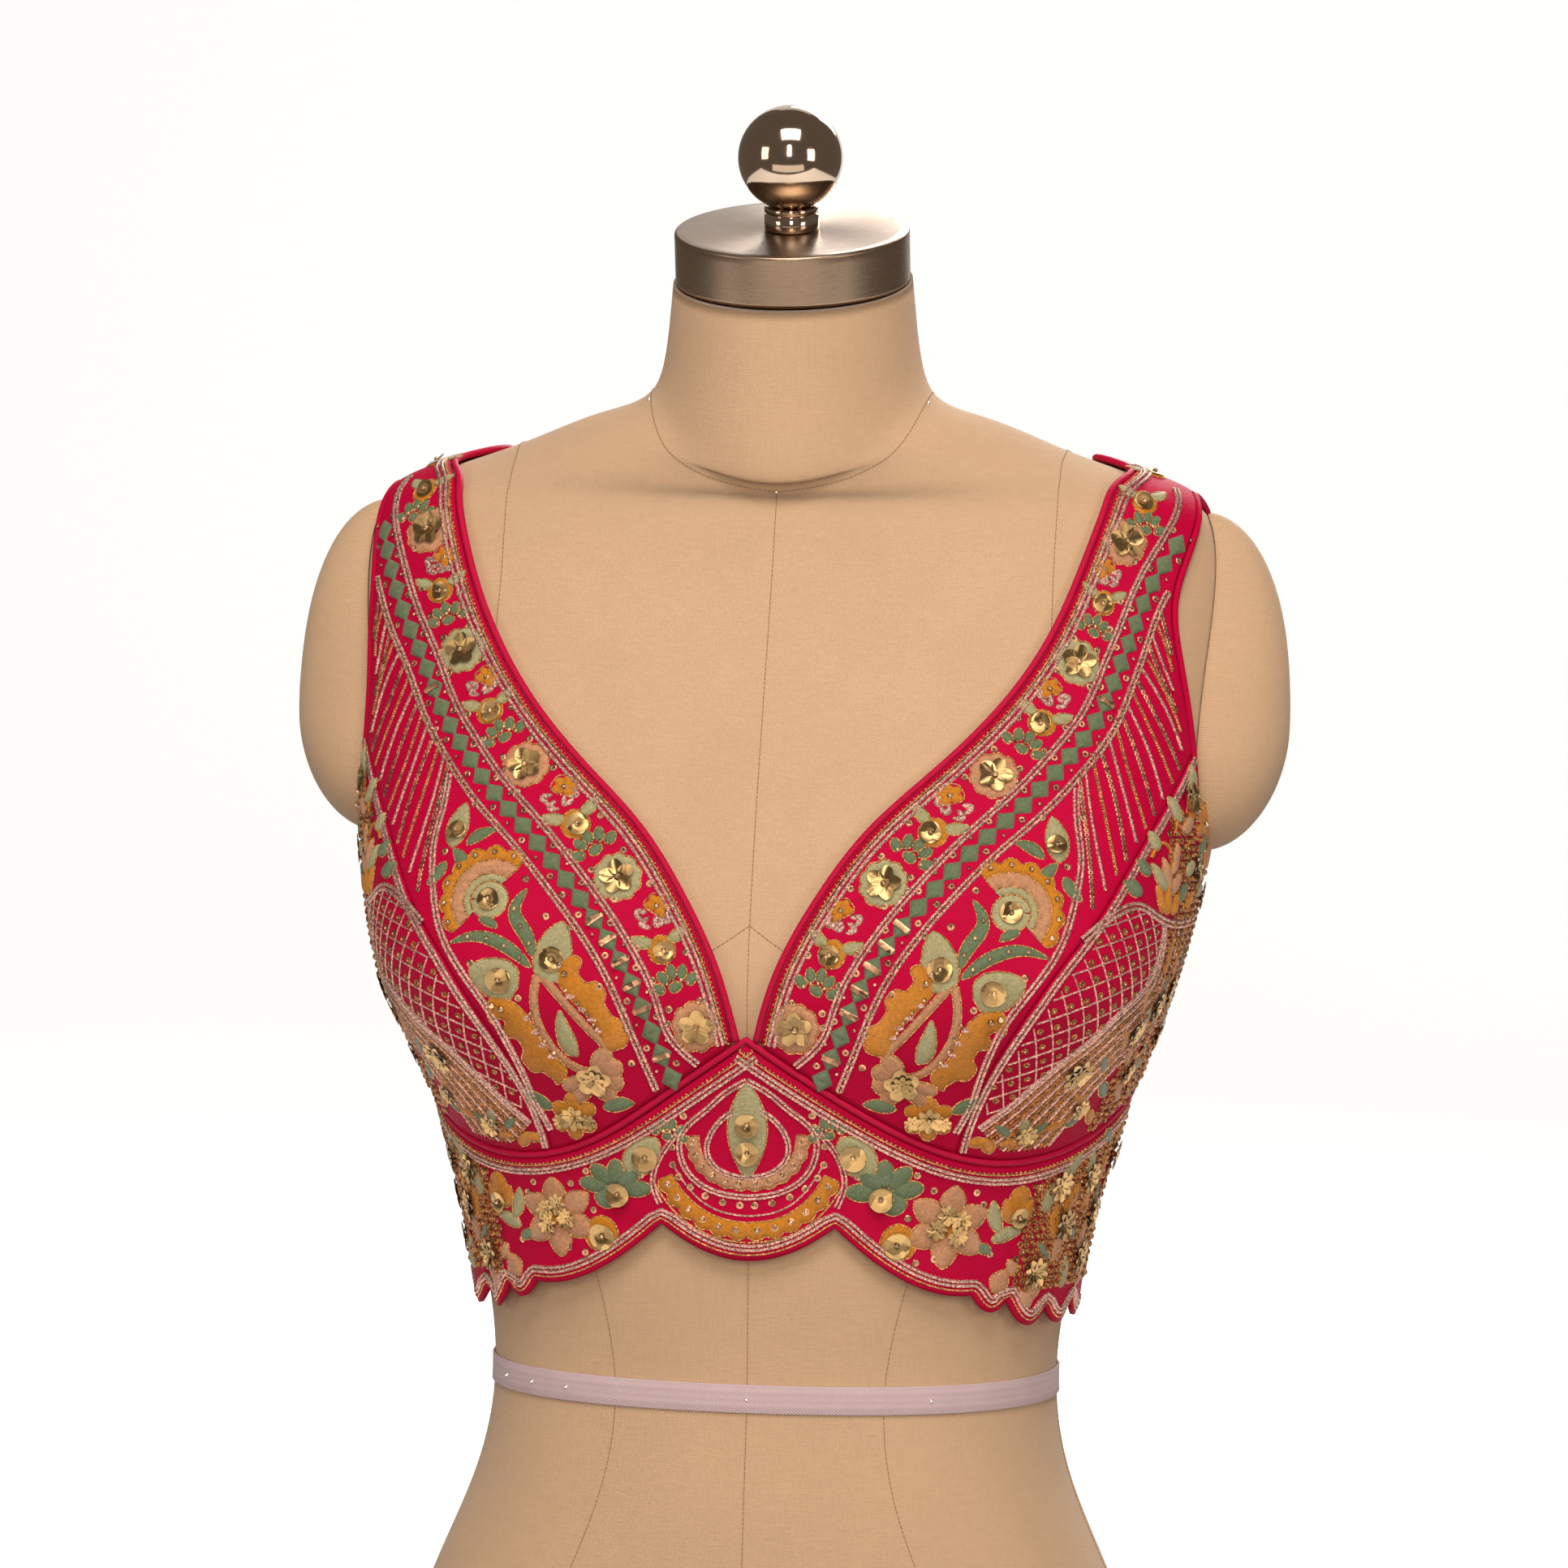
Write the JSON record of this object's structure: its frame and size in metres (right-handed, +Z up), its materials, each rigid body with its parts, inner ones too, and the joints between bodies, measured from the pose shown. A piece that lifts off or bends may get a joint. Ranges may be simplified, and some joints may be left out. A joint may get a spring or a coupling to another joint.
{
  "type": "choli blouse on limbless dress form",
  "caption": "Embroidered sleeveless choli blouse with a deep V neck and a scalloped hem, worn on a limbless linen dress form.",
  "frame": {"origin": "middle of the dress form's flat base, on the surface that it stands on", "axes": "+Z up, -Y to the front of the blouse, +X to the picture's right, which is the wearer's left"},
  "size_m": [0.4322, 0.2444, 0.78],
  "materials": {
    "raw_silk": "satin",
    "silk_piping": "satin",
    "linen": "matte",
    "brushed_steel": "brushed",
    "cotton_tape": "matte",
    "board": "matte"
  },
  "bodies": {
    "root": {"cup_front_left": "raw_silk", "cup_front_right": "raw_silk", "cup_side_left": "raw_silk", "cup_side_right": "raw_silk", "band_front": "raw_silk", "back_left": "raw_silk", "back_right": "raw_silk", "back_placket": "raw_silk", "neck_piping_left": "silk_piping", "neck_piping_right": "silk_piping", "armhole_piping_left": "silk_piping", "armhole_piping_right": "silk_piping", "underbust_piping": "silk_piping", "hook_1": "brushed_steel", "hook_2": "brushed_steel", "hook_3": "brushed_steel", "hook_4": "brushed_steel", "hook_5": "brushed_steel", "form_torso": "linen", "form_shoulder_left": "linen", "form_shoulder_right": "linen", "form_waist_tape": "cotton_tape", "form_neck_cap": "brushed_steel", "form_cap_collar": "brushed_steel", "form_finial": "brushed_steel", "form_base": "board"}
  },
  "joints": []
}
